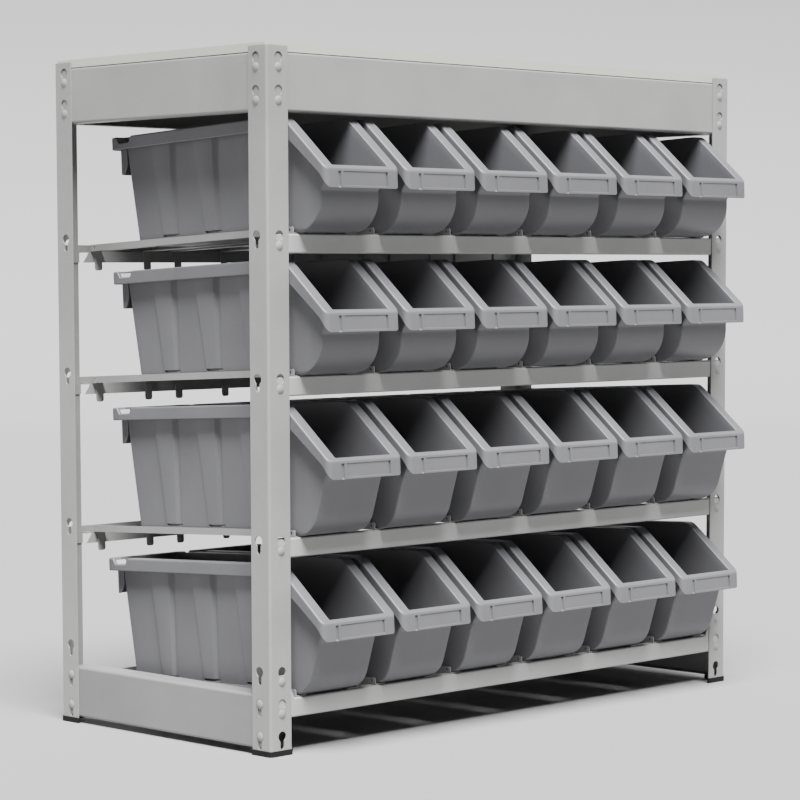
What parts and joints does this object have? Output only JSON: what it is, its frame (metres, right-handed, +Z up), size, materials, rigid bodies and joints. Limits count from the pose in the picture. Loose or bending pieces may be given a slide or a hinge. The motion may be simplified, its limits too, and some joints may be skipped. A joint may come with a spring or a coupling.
{
  "type": "stackable storage bin rack",
  "caption": "Boltless steel rack with tilted rail shelves, a flat worktop and hopper-front storage bins that slide out of it.",
  "frame": {"origin": "on the floor under the middle of the whole object's box, with the bins home", "axes": "+X to the right along the shelves, +Y from the open front to the back, +Z up"},
  "size_m": [1.0346, 0.5493, 1],
  "materials": {
    "frame_coating": "satin light grey powder coat",
    "panel_coating": "satin mid grey powder coat",
    "rail_coating": "satin light grey powder coat",
    "rivet_steel": "satin light grey powder coat over steel",
    "foot_plastic": "matt black moulded plastic",
    "board": "pale laminated chipboard",
    "bin_plastic": "satin mid grey moulded polypropylene"
  },
  "bodies": {
    "rack": {"post_front_left": "frame_coating", "post_front_right": "frame_coating", "post_back_left": "frame_coating", "post_back_right": "frame_coating", "foot_front_left": "foot_plastic", "foot_front_right": "foot_plastic", "foot_back_left": "foot_plastic", "foot_back_right": "foot_plastic", "top_panel_front": "frame_coating", "top_panel_back": "frame_coating", "top_panel_left": "frame_coating", "top_panel_right": "frame_coating", "base_panel_left": "panel_coating", "base_panel_right": "panel_coating", "worktop_board": "board", "front_beam_1": "frame_coating", "back_beam_1": "frame_coating", "deck_rails_1": "rail_coating", "front_beam_2": "frame_coating", "back_beam_2": "frame_coating", "deck_rails_2": "rail_coating", "front_beam_3": "frame_coating", "back_beam_3": "frame_coating", "deck_rails_3": "rail_coating", "front_beam_4": "frame_coating", "back_beam_4": "frame_coating", "deck_rails_4": "rail_coating", "rivets": "rivet_steel"},
    "bin_row1_col1": {"bin_row1_col1": "bin_plastic"},
    "bin_row1_col2": {"bin_row1_col2": "bin_plastic"},
    "bin_row1_col3": {"bin_row1_col3": "bin_plastic"},
    "bin_row1_col4": {"bin_row1_col4": "bin_plastic"},
    "bin_row1_col5": {"bin_row1_col5": "bin_plastic"},
    "bin_row1_col6": {"bin_row1_col6": "bin_plastic"},
    "bin_row2_col1": {"bin_row2_col1": "bin_plastic"},
    "bin_row2_col2": {"bin_row2_col2": "bin_plastic"},
    "bin_row2_col3": {"bin_row2_col3": "bin_plastic"},
    "bin_row2_col4": {"bin_row2_col4": "bin_plastic"},
    "bin_row2_col5": {"bin_row2_col5": "bin_plastic"},
    "bin_row2_col6": {"bin_row2_col6": "bin_plastic"},
    "bin_row3_col1": {"bin_row3_col1": "bin_plastic"},
    "bin_row3_col2": {"bin_row3_col2": "bin_plastic"},
    "bin_row3_col3": {"bin_row3_col3": "bin_plastic"},
    "bin_row3_col4": {"bin_row3_col4": "bin_plastic"},
    "bin_row3_col5": {"bin_row3_col5": "bin_plastic"},
    "bin_row3_col6": {"bin_row3_col6": "bin_plastic"},
    "bin_row4_col1": {"bin_row4_col1": "bin_plastic"},
    "bin_row4_col2": {"bin_row4_col2": "bin_plastic"},
    "bin_row4_col3": {"bin_row4_col3": "bin_plastic"},
    "bin_row4_col4": {"bin_row4_col4": "bin_plastic"},
    "bin_row4_col5": {"bin_row4_col5": "bin_plastic"},
    "bin_row4_col6": {"bin_row4_col6": "bin_plastic"}
  },
  "joints": [
    {"name": "bin_row1_col1_slide", "type": "slide", "parent": "rack", "child": "bin_row1_col1", "axis": [0, -0.9989, 0.0469], "range_m": [0, 0.48]},
    {"name": "bin_row1_col2_slide", "type": "slide", "parent": "rack", "child": "bin_row1_col2", "axis": [0, -0.9989, 0.0469], "range_m": [0, 0.48]},
    {"name": "bin_row1_col3_slide", "type": "slide", "parent": "rack", "child": "bin_row1_col3", "axis": [0, -0.9989, 0.0469], "range_m": [0, 0.48]},
    {"name": "bin_row1_col4_slide", "type": "slide", "parent": "rack", "child": "bin_row1_col4", "axis": [0, -0.9989, 0.0469], "range_m": [0, 0.48]},
    {"name": "bin_row1_col5_slide", "type": "slide", "parent": "rack", "child": "bin_row1_col5", "axis": [0, -0.9989, 0.0469], "range_m": [0, 0.48]},
    {"name": "bin_row1_col6_slide", "type": "slide", "parent": "rack", "child": "bin_row1_col6", "axis": [0, -0.9989, 0.0469], "range_m": [0, 0.48]},
    {"name": "bin_row2_col1_slide", "type": "slide", "parent": "rack", "child": "bin_row2_col1", "axis": [0, -0.9989, 0.0469], "range_m": [0, 0.48]},
    {"name": "bin_row2_col2_slide", "type": "slide", "parent": "rack", "child": "bin_row2_col2", "axis": [0, -0.9989, 0.0469], "range_m": [0, 0.48]},
    {"name": "bin_row2_col3_slide", "type": "slide", "parent": "rack", "child": "bin_row2_col3", "axis": [0, -0.9989, 0.0469], "range_m": [0, 0.48]},
    {"name": "bin_row2_col4_slide", "type": "slide", "parent": "rack", "child": "bin_row2_col4", "axis": [0, -0.9989, 0.0469], "range_m": [0, 0.48]},
    {"name": "bin_row2_col5_slide", "type": "slide", "parent": "rack", "child": "bin_row2_col5", "axis": [0, -0.9989, 0.0469], "range_m": [0, 0.48]},
    {"name": "bin_row2_col6_slide", "type": "slide", "parent": "rack", "child": "bin_row2_col6", "axis": [0, -0.9989, 0.0469], "range_m": [0, 0.48]},
    {"name": "bin_row3_col1_slide", "type": "slide", "parent": "rack", "child": "bin_row3_col1", "axis": [0, -0.9989, 0.0469], "range_m": [0, 0.48]},
    {"name": "bin_row3_col2_slide", "type": "slide", "parent": "rack", "child": "bin_row3_col2", "axis": [0, -0.9989, 0.0469], "range_m": [0, 0.48]},
    {"name": "bin_row3_col3_slide", "type": "slide", "parent": "rack", "child": "bin_row3_col3", "axis": [0, -0.9989, 0.0469], "range_m": [0, 0.48]},
    {"name": "bin_row3_col4_slide", "type": "slide", "parent": "rack", "child": "bin_row3_col4", "axis": [0, -0.9989, 0.0469], "range_m": [0, 0.48]},
    {"name": "bin_row3_col5_slide", "type": "slide", "parent": "rack", "child": "bin_row3_col5", "axis": [0, -0.9989, 0.0469], "range_m": [0, 0.48]},
    {"name": "bin_row3_col6_slide", "type": "slide", "parent": "rack", "child": "bin_row3_col6", "axis": [0, -0.9989, 0.0469], "range_m": [0, 0.48]},
    {"name": "bin_row4_col1_slide", "type": "slide", "parent": "rack", "child": "bin_row4_col1", "axis": [0, -0.9989, 0.0469], "range_m": [0, 0.48]},
    {"name": "bin_row4_col2_slide", "type": "slide", "parent": "rack", "child": "bin_row4_col2", "axis": [0, -0.9989, 0.0469], "range_m": [0, 0.48]},
    {"name": "bin_row4_col3_slide", "type": "slide", "parent": "rack", "child": "bin_row4_col3", "axis": [0, -0.9989, 0.0469], "range_m": [0, 0.48]},
    {"name": "bin_row4_col4_slide", "type": "slide", "parent": "rack", "child": "bin_row4_col4", "axis": [0, -0.9989, 0.0469], "range_m": [0, 0.48]},
    {"name": "bin_row4_col5_slide", "type": "slide", "parent": "rack", "child": "bin_row4_col5", "axis": [0, -0.9989, 0.0469], "range_m": [0, 0.48]},
    {"name": "bin_row4_col6_slide", "type": "slide", "parent": "rack", "child": "bin_row4_col6", "axis": [0, -0.9989, 0.0469], "range_m": [0, 0.48]}
  ]
}
